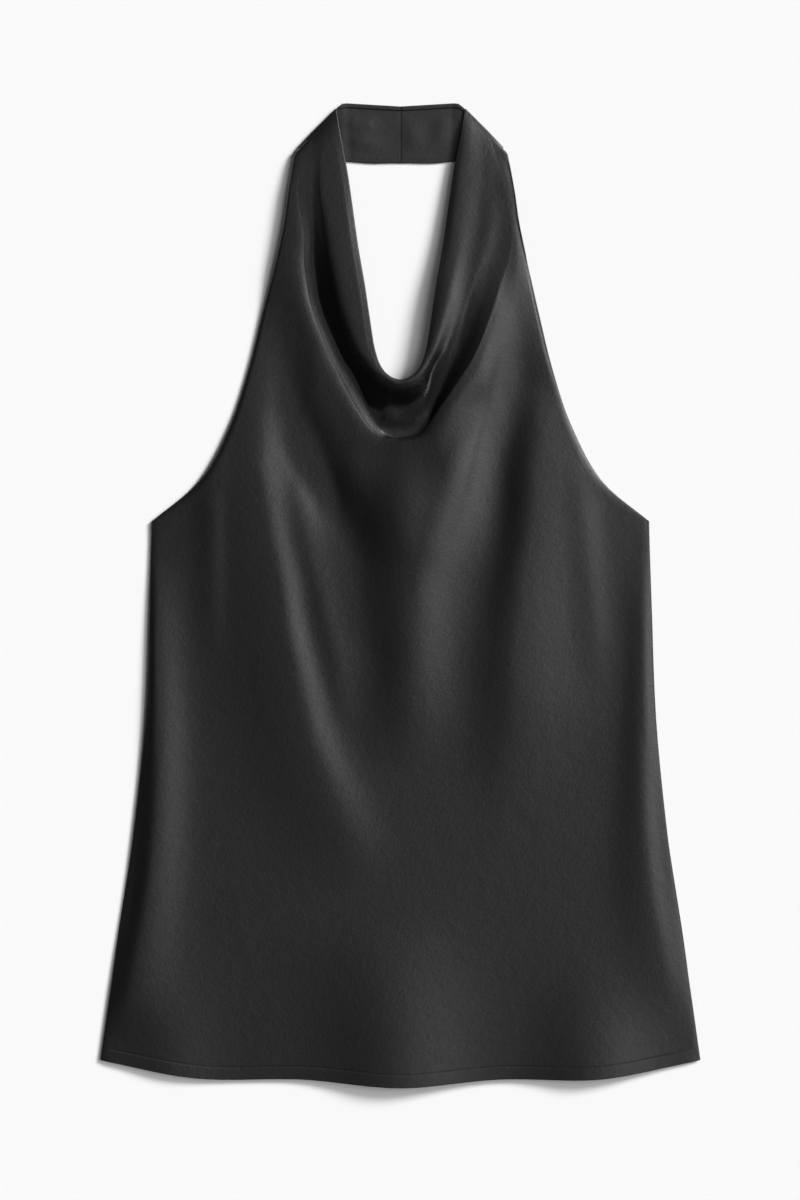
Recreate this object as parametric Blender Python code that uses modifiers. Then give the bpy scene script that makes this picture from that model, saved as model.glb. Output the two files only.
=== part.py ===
"""Halter neck top in satin, laid flat on its back.

The front panel has a cowl neckline and two halter straps that turn over diagonal shoulder folds.
Behind the neck two band halves meet at a centre-back seam, and a plain back panel lies underneath.
X runs across the body, Y from the hem to the neck and Z up from the surface the top lies on.
"""

from collections import namedtuple

import bmesh
import bpy
import numpy as np

MM = 0.001

# Driving dimensions, in millimetres
UNDERARM_HALF = 205.0
UNDERARM_Y = 60.5
HEM_HALF = 247.6
LENGTH_HALF = 406.3
WALL = 1.2
SEAM_GAP = 0.3
BACK_INSET = 1.5
BACK_NECK_DIP = 10.0
BAND_BOW = 1.0
BAND_TOP_Y, BAND_FOOT_Y = 402.8, 356.7
BAND_SEAM_TOP, BAND_SEAM_FOOT = (47.5, 405.6), (50.0, 358.4)
FOLD_RADIUS = 1.8
CORNER_BULGE, CORNER_WAY = 1.6, (0.6, 0.8)
LIP_ROUND = 1.4
LIP_EASE = 8.0

# Height of the wall's middle where it lies on the back panel, and where it lies on the surface itself
ON_BACK = WALL + SEAM_GAP + WALL / 2
ON_SURFACE = WALL / 2 + 0.1
FOLD_TOP = ON_SURFACE + 2 * FOLD_RADIUS

# Lie of the body: height its wall never goes under, a low crown across it that dies out below the waist, the
# width over which it rounds down to the side seams, and how far up from the hem its flutes reach
LEAST_HEIGHT = 2.3
CROWN_LOW, CROWN_HIGH = 1.0, 3.6
CROWN_WIDTH = 112.0
CROWN_FOOT_Y, CROWN_RISE = -150.0, 150.0
SIDE_ROLL = 7.0
FLUTE_REACH = 88.0

# Right half of the front, section by section, from the shoulder fold down to centre front. Each section runs
# from the neck edge over the lip of the second cowl fold to the outer edge, and bends towards centre front on
# its way from the lip to the edge, so that it meets the edge squarely. The outer edge turns a corner at the
# underarm and at the hem.
Section = namedtuple("Section", "neck_x neck_y lip_x lip_y edge_x edge_y bend")
SECTIONS = (
    Section(53.2, 400.2, 72.0, 381.5, 84.0, 368.6, 0),
    Section(51.0, 385.5, 76.5, 370.0, 88.2, 362.5, 0),
    Section(47.6, 367.5, 81.5, 353.5, 90.9, 348.0, 0),
    Section(43.8, 347.0, 86.0, 336.0, 93.9, 331.0, 0),
    Section(40.4, 324.0, 89.6, 314.0, 97.0, 308.5, 0),
    Section(37.6, 304.0, 91.6, 297.0, 101.3, 287.0, 0),
    Section(35.0, 286.0, 90.0, 281.0, 107.6, 260.0, 1),
    Section(32.3, 270.0, 85.5, 266.0, 115.3, 227.0, 3),
    Section(29.5, 254.0, 79.5, 252.0, 125.5, 185.5, 7),
    Section(27.0, 237.0, 72.5, 237.0, 140.5, 140.5, 13),
    Section(24.5, 220.0, 64.0, 217.5, 165.5, 94.5, 20),
    Section(22.3, 206.0, 55.0, 198.0, UNDERARM_HALF, UNDERARM_Y, 26),
    Section(20.6, 199.0, 47.3, 184.0, 207.4, -10.0, 30),
    Section(18.2, 191.5, 40.3, 171.0, 211.5, -110.0, 32),
    Section(15.4, 186.3, 34.2, 159.0, 223.2, -221.0, 32),
    Section(12.6, 182.6, 28.6, 148.2, 236.8, -309.0, 28),
    Section(9.8, 180.2, 22.6, 138.6, HEM_HALF, -384.4, 20),
    Section(6.6, 178.2, 15.4, 132.4, 166.0, -399.2, 10),
    Section(3.3, 177.0, 7.8, 130.0, 82.0, -400.0, 4),
    Section(0.0, 176.5, 0.0, 129.4, 0.0, -LENGTH_HALF, 0),
)
UNDERARM_ROW, HEM_ROW, CENTRE_ROW = 11, 16, 19

# Heights of the wall's middle at some of those sections. The brow is the share of the way to the lip where the
# first fold drops, over the given width, to a shelf that slopes into the valley. From the valley the cloth
# climbs to the second fold's lip, whose last bit, the roll, lies past its edge. A tuck is how far the valley
# runs in under that edge; below zero it stays short of it. Out is how far the edge lies outside its section's
# point, and fall the width of the second fold's outer flank.
Rise = namedtuple("Rise", "row rim crest brow drop shelf valley lip roll tuck out fall edge")
RIGHT_RISES = (
    Rise(0, FOLD_TOP, FOLD_TOP, 0.50, 4, FOLD_TOP, FOLD_TOP, FOLD_TOP, 0.0, -5, 0.0, 60, FOLD_TOP),
    Rise(1, 6.2, 6.4, 0.52, 5, 6.2, 6.0, 5.9, 0.0, -5, 0.0, 18, 4.8),
    Rise(3, 9.2, 9.6, 0.56, 6, 9.2, 8.8, 8.3, 0.0, -6, 0.0, 16, 5.2),
    Rise(5, 11.6, 12.0, 0.58, 6, 11.8, 11.6, 11.4, 0.0, -9, 0.0, 18, 4.8),
    Rise(7, 13.2, 13.6, 0.36, 8, 12.8, 12.6, 15.2, 0.0, -17, 0.0, 21, 3.8),
    Rise(9, 14.0, 14.3, 0.30, 6, 13.1, 12.8, 17.2, 0.0, -24, 4.0, 22, 3.0),
    Rise(11, 14.3, 14.6, 0.30, 6, 12.6, 12.0, 17.7, 0.0, -18, 5.5, 22, ON_BACK),
    Rise(13, 14.8, 15.1, 0.24, 7, 12.0, 11.4, 17.6, 0.3, -16, 3.4, 22, ON_BACK),
    Rise(15, 15.0, 15.4, 0.14, 10, 6.6, 4.8, 16.0, 1.2, -2, 0.0, 23, ON_BACK),
    Rise(17, 15.1, 15.5, 0.10, 11, 6.2, 3.8, 13.4, 1.5, 6, 0.0, 25, ON_BACK),
    Rise(19, 15.1, 15.5, 0.10, 11, 6.6, 3.4, 11.2, 1.0, 7, 1.0, 26, ON_BACK),
)
LEFT_RISES = (
    Rise(0, FOLD_TOP, FOLD_TOP, 0.44, 5, FOLD_TOP, FOLD_TOP, FOLD_TOP, 0.0, -5, 0.0, 60, FOLD_TOP),
    Rise(1, 6.2, 6.4, 0.44, 6, 6.0, 5.9, 6.0, 0.1, -5, 0.0, 34, 3.2),
    Rise(3, 9.5, 9.8, 0.42, 12, 7.8, 7.7, 8.1, 0.4, -4, -2.0, 40, 2.4),
    Rise(5, 12.0, 12.3, 0.48, 17, 8.6, 8.4, 9.1, 0.7, -3, -12.0, 38, 2.2),
    Rise(7, 13.3, 13.6, 0.46, 20, 7.4, 7.3, 8.2, 0.9, -2.5, -6.5, 24, 2.0),
    Rise(9, 14.0, 14.3, 0.43, 19, 6.0, 5.9, 6.9, 1.0, -2.5, 1.0, 18, 1.9),
    Rise(11, 14.4, 14.7, 0.35, 19, 5.6, 5.5, 6.6, 1.1, -2, 4.0, 17, ON_BACK),
    Rise(13, 14.8, 15.2, 0.24, 22, 5.5, 5.4, 6.7, 1.2, -3, 5.5, 20, ON_BACK),
    Rise(15, 15.0, 15.4, 0.12, 20, 5.6, 5.4, 7.6, 1.4, -9, 5.0, 24, ON_BACK),
    Rise(16, 15.1, 15.5, 0.11, 17, 5.6, 5.4, 8.2, 1.4, -8, 4.0, 25, ON_BACK),
    Rise(16.8, 15.1, 15.5, 0.10, 15, 5.8, 4.8, 9.0, 1.3, -4, 3.0, 26, ON_BACK),
    Rise(17.8, 15.1, 15.5, 0.10, 13, 6.2, 4.0, 10.0, 1.2, 3, 2.0, 26, ON_BACK),
)

# The body's largest folds: each a crest that runs down the cloth, with its height and its half width on either
# side. Troughs have heights below zero.
Crest = namedtuple("Crest", "x y height left right")
BODY_FOLDS = {
    "cowl_to_centre": (
        Crest(52, 176, 0.0, 30, 25), Crest(46, 144, 4.8, 34, 25), Crest(39, 112, 8.2, 40, 25),
        Crest(30, 80, 8.8, 46, 26), Crest(18, 45, 8.2, 44, 28), Crest(12, 12, 6.4, 38, 26),
        Crest(10, -21, 5.4, 34, 26), Crest(9, -54, 4.8, 27, 27), Crest(8, -87, 3.6, 26, 28),
        Crest(8, -120, 1.6, 26, 28), Crest(8, -160, 0.0, 26, 28),
    ),
    "cowl_tail": (
        Crest(-14, 132, 4.5, 34, 26), Crest(-8, 90, 4.5, 30, 26), Crest(-3, 50, 2.0, 22, 20),
        Crest(0, 15, 0.0, 20, 20),
    ),
    "left_trough": (
        Crest(-104, 243, 0.0, 12, 12), Crest(-93, 177, -1.6, 15, 15), Crest(-85, 148, -2.2, 17, 17),
        Crest(-76, 124, -3.0, 18, 18), Crest(-60, 86, -3.4, 18, 18), Crest(-40, 45, -2.0, 16, 18),
        Crest(-32, 12, -1.2, 15, 18), Crest(-22, -54, -0.6, 14, 18), Crest(-17, -87, 0.0, 14, 18),
    ),
    "left_armhole_to_centre": (
        Crest(-122, 185, 0.0, 30, 12), Crest(-119, 128, 2.6, 44, 15), Crest(-118, 103, 4.2, 50, 17),
        Crest(-113, 74, 5.2, 52, 18), Crest(-108, 45, 5.2, 52, 17), Crest(-100, 12, 5.4, 52, 16),
        Crest(-96, -21, 5.5, 52, 16), Crest(-89, -54, 5.6, 52, 16), Crest(-81, -87, 5.4, 50, 16),
        Crest(-73, -120, 5.0, 48, 17), Crest(-61, -153, 4.2, 46, 19), Crest(-48, -186, 3.2, 44, 22),
        Crest(-36, -219, 1.4, 44, 24), Crest(-24, -253, 0.0, 44, 24),
    ),
    "right_trough": (
        Crest(103, 243, 0.0, 12, 12), Crest(96, 161, -1.0, 14, 12), Crest(85, 111, -1.6, 16, 12),
        Crest(82, 78, -1.8, 18, 12), Crest(80, 45, -1.2, 18, 12), Crest(72, 0, -0.6, 16, 14),
        Crest(63, -54, 0.0, 14, 14),
    ),
    "right_armhole_to_centre": (
        Crest(122, 190, 0.0, 14, 22), Crest(115, 136, 3.2, 16, 34), Crest(111, 111, 4.4, 18, 40),
        Crest(110, 78, 5.4, 20, 44), Crest(107, 45, 6.2, 23, 46), Crest(101, 12, 6.4, 25, 46),
        Crest(98, -21, 6.2, 26, 46), Crest(95, -54, 5.8, 27, 46), Crest(95, -87, 5.0, 28, 46),
        Crest(92, -120, 3.4, 28, 44), Crest(92, -153, 1.8, 28, 42), Crest(92, -190, 0.8, 28, 40),
        Crest(88, -240, 0.0, 28, 40),
    ),
    "left_side": (
        Crest(-205, 40, 0.0, 10, 14), Crest(-203, -5, 2.2, 10, 18), Crest(-202, -60, 3.8, 10, 20),
        Crest(-201, -120, 5.0, 10, 21), Crest(-203, -190, 5.2, 10, 22), Crest(-211, -260, 5.0, 10, 26),
        Crest(-222, -320, 4.2, 12, 30), Crest(-234, -384, 2.4, 14, 34),
    ),
    "right_side": (
        Crest(200, 50, 0.0, 10, 8), Crest(200, -5, 1.4, 11, 8), Crest(200, -54, 2.4, 12, 9),
        Crest(200, -120, 3.4, 15, 10), Crest(200, -170, 3.6, 18, 10), Crest(205, -240, 3.4, 26, 12),
        Crest(216, -300, 2.8, 30, 14), Crest(232, -380, 0.8, 32, 14),
    ),
    "low_swell": (
        Crest(-30, -262, 0.0, 40, 50), Crest(-24, -300, 1.6, 44, 56), Crest(-12, -340, 1.6, 46, 56),
        Crest(-4, -400, 0.0, 46, 56),
    ),
}

# Lift of the front hem: place across, lift and half width
Flute = namedtuple("Flute", "x lift half_width")
HEM_FLUTES = (Flute(-190, 3.4, 34), Flute(-3, 7.6, 50), Flute(161, 7.4, 44))

# Grid of the front panel: steps along each stretch of a half, rows along the cowl by its control points, rows
# down the body, and rows near the outer edge by their distance from it
STRAP_COLUMNS, SIDE_COLUMNS, HEM_COLUMNS = 17, 13, 12
COWL_ROWS = (0, 1, 2, 3, 4, 5, 6, 7, 7.6, 8, 8.6, 9, 10, 11, 12, 13)
BODY_ROWS = 9
EDGE_ROWS = (7.0, 4.0, 1.8, 0.0)
ROW_SPREAD = 1.12
FOLD_STEPS, UNDER_STEPS = 5, 2
BAND_COLUMNS, BAND_ROWS = 6, 6
BACK_EDGE_POINTS, BACK_TOP_POINTS = 40, 9
SIDE_EDGE_POINTS = 90

SATIN_FACE = ("satin_face", (0.022, 0.022, 0.025, 1.0), 0.42)
SATIN_INSIDE = ("satin_inside", (0.028, 0.027, 0.030, 1.0), 0.55)


def smoothstep(x):
    """0 below 0, 1 above 1, and an easy S between."""
    x = np.clip(x, 0.0, 1.0)
    return x * x * (3.0 - 2.0 * x)


def through(rows, at, corners=()):
    """Catmull-Rom curve through a table's rows at row numbers `at`, with no rounding at the corner rows."""
    rows = np.asarray(rows, float)
    at = np.asarray(at, float)
    last = len(rows) - 1
    low = np.clip(np.floor(at).astype(int), 0, last - 1)
    part = (at - low).reshape(-1, *[1] * (rows.ndim - 1))
    here, there = rows[low], rows[low + 1]
    ends = np.isin(np.arange(last + 1), (0, last, *corners)).reshape(-1, *[1] * (rows.ndim - 1))
    before = np.where(ends[low], 2 * here - there, rows[np.maximum(low - 1, 0)])
    after = np.where(ends[low + 1], 2 * there - here, rows[np.minimum(low + 2, last)])
    slope_here, slope_there = (there - before) / 2, (after - here) / 2
    return (
        here * (1 + 2 * part) * (1 - part) ** 2
        + slope_here * part * (1 - part) ** 2
        + there * (3 - 2 * part) * part**2
        + slope_there * (part - 1) * part**2
    )


def eased(at, rows, values):
    """Cubic curve through values given at uneven row numbers, with each row's slope from the rows beside it."""
    slopes = np.gradient(values, rows, axis=0)
    low = np.clip(np.searchsorted(rows, at, "right") - 1, 0, len(rows) - 2)
    step = (rows[low + 1] - rows[low])[:, None]
    part = (np.asarray(at) - rows[low])[:, None] / step
    return (
        values[low] * (1 + 2 * part) * (1 - part) ** 2
        + slopes[low] * step * part * (1 - part) ** 2
        + values[low + 1] * (3 - 2 * part) * part**2
        + slopes[low + 1] * step * (part - 1) * part**2
    )


def nearest_on(x, y, path):
    """Nearest point of a polyline to each x, y: the distance, the place along it in segments, and the side,
    above zero to the right of the way it runs when that is down the cloth."""
    start, run = path[:-1], np.diff(path, axis=0)
    gap_x, gap_y = x[..., None] - start[:, 0], y[..., None] - start[:, 1]
    share = np.clip((gap_x * run[:, 0] + gap_y * run[:, 1]) / (run**2).sum(axis=1), 0, 1)
    gap_x, gap_y = gap_x - share * run[:, 0], gap_y - share * run[:, 1]
    distance = np.hypot(gap_x, gap_y)
    pick = distance.argmin(axis=-1)[..., None]
    side = run[:, 0] * gap_y - run[:, 1] * gap_x
    all_three = (distance, share, side)
    distance, share, side = (np.take_along_axis(each, pick, axis=-1)[..., 0] for each in all_three)
    return distance, pick[..., 0] + share, side


def fold(x, y, crests):
    """Height of one fold: a bell curve of the distance to its crest's path, with its own width on each side."""
    fine = through(crests, np.linspace(0, len(crests) - 1, 4 * len(crests)))
    distance, place, side = nearest_on(x, y, fine[:, :2])
    at = np.arange(len(fine))
    height, left, right = (np.interp(place, at, fine[:, k]) for k in (2, 3, 4))
    height *= smoothstep(place / 4) * smoothstep((at[-1] - place) / 4)
    return height * np.exp(-((distance / np.where(side > 0, right, left)) ** 2))


def drape(x, y):
    """Height that the body's folds add."""
    return sum(fold(x, y, np.array(crests, float)) for crests in BODY_FOLDS.values())


def hem_flutes(x):
    """Lift of the front hem: a sum of bell curves across the body."""
    return sum(f.lift * np.exp(-(((x - f.x) / f.half_width) ** 2)) for f in HEM_FLUTES)


def body_height(x, y):
    """Height of the body: a low crown across it, its folds and the hem's flutes, eased off just above the least
    height by a hyperbola so that troughs have soft floors."""
    crown = CROWN_LOW + (CROWN_HIGH - CROWN_LOW) * smoothstep((y - CROWN_FOOT_Y) / CROWN_RISE)
    above_hem = (y + LENGTH_HALF) / FLUTE_REACH
    over = crown * np.exp(-((x / CROWN_WIDTH) ** 2)) + drape(x, y) + hem_flutes(x) * np.exp(-(above_hem**2))
    return LEAST_HEIGHT + (over + np.sqrt(over**2 + 1.0)) / 2


def column_rows():
    """Section numbers of the grid's columns across the whole front: right shoulder, centre, left shoulder."""
    half = np.concatenate(
        [
            np.linspace(0, UNDERARM_ROW, STRAP_COLUMNS, endpoint=False),
            np.linspace(UNDERARM_ROW, HEM_ROW, SIDE_COLUMNS, endpoint=False),
            np.linspace(HEM_ROW, CENTRE_ROW, HEM_COLUMNS, endpoint=False),
        ]
    )
    return np.concatenate([half, [CENTRE_ROW], 2 * CENTRE_ROW - half[::-1]])


def rises_at(at):
    """The rises' values at section numbers `at`: right side, centre and on to the left shoulder."""
    right, left = np.array(RIGHT_RISES, float), np.array(LEFT_RISES, float)[::-1]
    left[:, 0] = 2 * CENTRE_ROW - left[:, 0]
    table = np.vstack([right, left])
    return Rise(at, *eased(at, table[:, 0], table[:, 1:]).T)


def whole_sections(at):
    """Neck, lip and edge points and the bend at section numbers `at`, with the left half mirrored."""
    right = np.array(SECTIONS)
    left = right[-2::-1] * (-1, 1, -1, 1, -1, 1, -1)
    corners = (UNDERARM_ROW, HEM_ROW, 2 * CENTRE_ROW - HEM_ROW, 2 * CENTRE_ROW - UNDERARM_ROW)
    both = np.vstack([right, left])
    neck, lip = np.split(through(both[:, :4], at), 2, axis=1)
    edge = through(both[:, 4:6], at, corners)
    bend = through(both[:, 6], at)
    outward = (lip - neck) / np.linalg.norm(lip - neck, axis=1)[:, None]
    return neck, lip + outward * rises_at(at).out[:, None], edge, bend


def cowl_profile(reach, ease, rise):
    """Section of the cowl: neck rim, first fold, valley and the second fold's lip, which overhangs the valley
    where it has a tuck.

    Gives distances along the section and heights at fourteen control points for each column.
    """
    deep = reach + rise.tuck
    depth = rise.crest - rise.shelf
    lip = rise.lip - rise.roll
    climb = lip - rise.valley
    hook = smoothstep((rise.tuck + 3.0) / 7.0)
    turn = LIP_ROUND * hook
    brow = rise.brow * reach
    foot = brow + rise.drop
    rim_width = np.maximum(np.minimum(7.0, 0.5 * brow), brow - 2.2 * rise.drop)
    along = [0 * reach, 0.45 * rim_width, rim_width, brow, (brow + foot) / 2, foot, (foot + deep) / 2, deep,
             reach + 0.62 * rise.tuck, reach + 0.25 * (1 - hook) * rise.tuck + 0.3 * turn, reach,
             reach + 0.6 + 0.7 * turn, reach + 0.5 * ease, reach + ease]
    up = [rise.rim, rise.rim + 0.6 * (rise.crest - rise.rim), rise.crest, rise.crest - 0.08 * depth,
          rise.crest - 0.54 * depth, rise.shelf + 0.04 * depth, (rise.shelf + rise.valley) / 2,
          rise.valley + 0.10 * climb * hook, rise.valley + (0.24 + 0.28 * hook) * climb,
          lip - 1.9 * turn - 0.38 * climb * (1 - hook), lip - 0.9 * turn, lip - 0.1 * turn + 0.16 * rise.roll,
          lip + 0.72 * rise.roll, rise.lip]
    return np.stack(along, axis=1), np.stack(up, axis=1)


def front_grid():
    """Middle surface of the front as an array of columns by rows by XYZ, in millimetres.

    It is the cowl's section from the neck edge to the second lip, whose height then gives way to the body's on
    a bell curve, out to the edge.
    """
    at = column_rows()
    neck, lip, edge, bend = whole_sections(at)
    rise = rises_at(at)
    reach = np.linalg.norm(lip - neck, axis=1)
    beyond = np.linalg.norm(edge - lip, axis=1)
    ease = np.minimum(LIP_EASE, 0.25 * beyond)
    along, up = cowl_profile(reach, ease, rise)
    along, up = through(along.T, COWL_ROWS).T, through(up.T, COWL_ROWS).T

    border = np.minimum(1.0, 0.45 * beyond / EDGE_ROWS[0])
    share = np.linspace(0, 1, BODY_ROWS + 2)[1:-1] ** ROW_SPREAD
    inner = ease[:, None] + share * (beyond - ease - border * EDGE_ROWS[0])[:, None]
    past = np.concatenate([inner, beyond[:, None] - border[:, None] * np.array(EDGE_ROWS)], axis=1)
    to_lip = (lip - neck) / reach[:, None]
    to_edge = (edge - lip) / beyond[:, None]
    distance = np.concatenate([along, reach[:, None] + past], axis=1)
    inner = np.minimum(distance, reach[:, None])
    outer = np.maximum(distance - reach[:, None], 0)
    plan = neck[:, None] + to_lip[:, None] * inner[..., None] + to_edge[:, None] * outer[..., None]
    share = outer / beyond[:, None]
    aside = np.stack([to_edge[:, 1], -to_edge[:, 0]], axis=1)
    plan += aside[:, None] * (4 * bend[:, None] * share * (1 - share))[..., None]

    cowl = along.shape[1]
    near_lip = np.exp(-(((past - ease[:, None]) / rise.fall[:, None]) ** 2))
    body = body_height(plan[:, cowl:, 0], plan[:, cowl:, 1])
    body += (rise.lip[:, None] - body) * near_lip
    height = np.concatenate([up, body], axis=1)
    for path in edge_outline():
        inward = nearest_on(plan[..., 0], plan[..., 1], path)[0] / SIDE_ROLL
        round_off = np.sqrt(1 - (1 - np.clip(inward, 0, 1)) ** 2)
        height = rise.edge[:, None] + (height - rise.edge[:, None]) * round_off
    return np.concatenate([plan, height[..., None]], axis=2)


def edge_outline():
    """The outer edges of both sides, from the shoulder folds to the hem, as polylines in plan."""
    right = whole_sections(np.linspace(0, HEM_ROW, SIDE_EDGE_POINTS))[2]
    return right, right * (-1, 1)


def band_seam(share, side, gap=0.0):
    """Points at the given shares down the seam between a strap and its band half, hidden under the strap."""
    top, foot = np.array(BAND_SEAM_TOP), np.array(BAND_SEAM_FOOT)
    return (top + (foot - top) * share[:, None] - (gap, 0)) * (side, 1)


def shoulder_turn(line, side):
    """Columns that carry the strap over its shoulder fold, a half round, and in under itself to the band's seam.
    Its neck edge swells on the way, so that the corner by the band is round."""
    run = line[-1, :2] - line[0, :2]
    across = np.linalg.norm(line[:, :2] - line[0, :2], axis=1) / np.linalg.norm(run)
    outward = np.array([-run[1], run[0]]) * side / np.linalg.norm(run)
    angles = np.pi * np.arange(1, FOLD_STEPS + 1)[:, None] / FOLD_STEPS
    turned = np.repeat(line[None], FOLD_STEPS, axis=0)
    turned[..., :2] += outward * (FOLD_RADIUS * np.sin(angles))[..., None]
    turned[..., 2] = FOLD_TOP - FOLD_RADIUS * (1 - np.cos(angles))
    seam = turned[-1].copy()
    seam[:, :2] = band_seam(across, side)
    step = np.linspace(0, 1, UNDER_STEPS + 1)[1:, None, None]
    flat = turned[-1] + (seam - turned[-1]) * step
    swell = CORNER_BULGE * np.sin(np.pi * step[..., 0]) * np.clip(1 - 4 * across, 0, 1) ** 2
    flat[..., :2] += swell[..., None] * (np.array(CORNER_WAY) * (side, 1))
    return np.concatenate([turned, flat])


def grid_mesh(name, grid, scale=MM):
    """Open mesh of quads over an array of columns by rows by XYZ."""
    columns, rows = grid.shape[:2]
    shape = bmesh.new()
    points = [[shape.verts.new(point * scale) for point in column] for column in grid]
    for i in range(columns - 1):
        for j in range(rows - 1):
            shape.faces.new((points[i][j], points[i + 1][j], points[i + 1][j + 1], points[i][j + 1]))
    mesh = bpy.data.meshes.new(name)
    shape.to_mesh(mesh)
    shape.free()
    return mesh


def satin(settings):
    """Plain satin material with the piece's colour and roughness."""
    name, colour, roughness = settings
    material = bpy.data.materials.new(name)
    material.use_nodes = True
    shader = material.node_tree.nodes["Principled BSDF"]
    shader.inputs["Base Color"].default_value = colour
    shader.inputs["Roughness"].default_value = roughness
    shader.inputs["Metallic"].default_value = 0.0
    return material


def add_piece(name, mesh, finish, collection):
    """Object with its own satin material in the garment's collection."""
    piece = bpy.data.objects.new(name, mesh)
    material = satin((f"{name}_{finish[0]}", *finish[1:]))
    piece.data.materials.append(material)
    collection.objects.link(piece)
    return piece


def thicken(piece, offset):
    """Gives an open surface its wall: offset 0 puts the surface in the wall's middle, 1 under it."""
    wall = piece.modifiers.new("wall", "SOLIDIFY")
    wall.thickness = WALL * MM
    wall.offset = offset
    piece.data.shade_smooth()
    return piece


def make_front(collection):
    """The front panel with its cowl, straps and shoulder folds, one wall from seam to seam."""
    grid = front_grid()
    whole = np.concatenate([shoulder_turn(grid[0], 1)[::-1], grid, shoulder_turn(grid[-1], -1)])
    piece = add_piece("front_panel", grid_mesh("front_panel", whole), SATIN_FACE, collection)
    return thicken(piece, 0.0)


def make_band(side, collection):
    """Half of the back neck band, flat on the surface, from the strap's end to the centre-back seam."""
    name = "neck_band_right" if side > 0 else "neck_band_left"
    share = np.linspace(0, 1, BAND_ROWS + 1)
    seam = band_seam(share, side, SEAM_GAP)
    centre = np.stack(
        [np.full_like(share, side * SEAM_GAP / 2), BAND_TOP_Y + (BAND_FOOT_Y - BAND_TOP_Y) * share], axis=1
    )
    step = np.linspace(0, 1, BAND_COLUMNS + 1)[:, None]
    plan = seam + (centre - seam) * step[..., None]
    plan[..., 1] -= BAND_BOW * share * np.sin(np.pi * step / 2) * np.sin(np.pi * step)
    grid = np.concatenate([plan, np.zeros((*plan.shape[:2], 1))], axis=2)
    if side < 0:
        grid = grid[::-1]
    piece = add_piece(name, grid_mesh(name, grid), SATIN_INSIDE, collection)
    return thicken(piece, 1.0)


def make_back(collection):
    """Plain back panel: a flat outline inside the front's, with a shallow dip in its top edge."""
    edge = whole_sections(np.linspace(UNDERARM_ROW, CENTRE_ROW, BACK_EDGE_POINTS))[2]
    edge = edge * ((UNDERARM_HALF - BACK_INSET) / UNDERARM_HALF, 1)
    edge[:, 1] = np.maximum(edge[:, 1], -LENGTH_HALF + BACK_INSET)
    edge[0, 1] -= BACK_INSET
    across = np.linspace(-1, 1, BACK_TOP_POINTS)[1:-1]
    top = np.stack([across * edge[0, 0], edge[0, 1] - BACK_NECK_DIP * (1 - across**2)], axis=1)
    outline = np.vstack([edge, (edge * (-1, 1))[-2::-1], top])
    curve = bpy.data.curves.new("back_panel", "CURVE")
    curve.dimensions = "2D"
    curve.fill_mode = "BOTH"
    curve.extrude = WALL / 2 * MM
    spline = curve.splines.new("POLY")
    spline.points.add(len(outline) - 1)
    for point, (x, y) in zip(spline.points, outline * MM):
        point.co = (x, y, 0, 1)
    spline.use_cyclic_u = True
    piece = add_piece("back_panel", curve, SATIN_FACE, collection)
    piece.location.z = WALL / 2 * MM
    return piece


def main():
    for obj in list(bpy.data.objects):
        bpy.data.objects.remove(obj)
    collection = bpy.data.collections.new("halter_neck_top")
    bpy.context.scene.collection.children.link(collection)
    make_front(collection)
    make_band(1, collection)
    make_band(-1, collection)
    make_back(collection)


main()
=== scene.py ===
"""Halter neck top in black satin, laid flat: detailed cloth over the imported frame.

Laid out as a Blender add-on and run as a script. Every cloth surface is worked out with numpy as a
function of two parameters on a grid. Tables hold the cut and the folds in millimetres; meshes are in
metres. Section numbers count along the front's outline, from the right shoulder fold (0) down to
centre front (19) and up to the left shoulder fold (38).
"""

from collections import namedtuple

import bpy
import numpy as np
from bpy.props import FloatProperty, FloatVectorProperty, PointerProperty
from bpy.types import Operator, Panel, PropertyGroup
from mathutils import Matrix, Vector


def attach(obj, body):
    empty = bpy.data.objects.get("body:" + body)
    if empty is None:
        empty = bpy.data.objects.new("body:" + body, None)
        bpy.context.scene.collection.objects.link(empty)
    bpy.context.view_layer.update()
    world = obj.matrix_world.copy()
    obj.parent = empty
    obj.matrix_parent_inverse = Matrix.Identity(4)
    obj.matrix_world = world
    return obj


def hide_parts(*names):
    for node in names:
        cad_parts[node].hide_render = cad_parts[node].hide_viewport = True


bl_info = {
    "name": "Halter neck top",
    "version": (1, 0, 0),
    "blender": (4, 5, 0),
    "location": "View3D > Sidebar > Halter top",
    "description": "Builds a satin halter neck top, laid flat, over its packed frame",
    "category": "Object",
}

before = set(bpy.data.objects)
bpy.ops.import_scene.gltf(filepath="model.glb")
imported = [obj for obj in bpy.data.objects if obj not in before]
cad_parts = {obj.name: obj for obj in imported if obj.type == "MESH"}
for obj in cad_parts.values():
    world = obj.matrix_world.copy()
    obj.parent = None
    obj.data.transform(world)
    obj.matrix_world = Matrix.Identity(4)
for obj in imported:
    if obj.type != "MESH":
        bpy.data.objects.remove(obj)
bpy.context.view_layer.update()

MM = 0.001
NEARLY_ZERO = 1e-9
RIGHT, LEFT = 1, -1

# Outline of the body
UNDERARM_HALF = 205.0
UNDERARM_Y = 60.5
HEM_HALF = 247.6
LENGTH_HALF = 406.3

# Height of the cloth's middle where it rests on the surface, and of the front's where it rests on the back
ON_SURFACE = 0.9
ON_BACK = 2.1

# A turned edge is a half round of this radius and a flap; rows of the grid that each flap follows
TURN_RADIUS = 0.28
TURN_STEPS = 4
NECK_FLAP, OUTER_FLAP, BAND_FLAP = 6, 8, 3

# Shoulder fold: radius and steps of its half round, then the strap's way in under itself to the band, on
# which it sinks a little
FOLD_RADIUS = 1.1
FOLD_TOP = ON_SURFACE + 2 * FOLD_RADIUS
FOLD_STEPS = 10
UNDER_STEPS = 8
UNDER_BAND = 0.35

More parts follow.
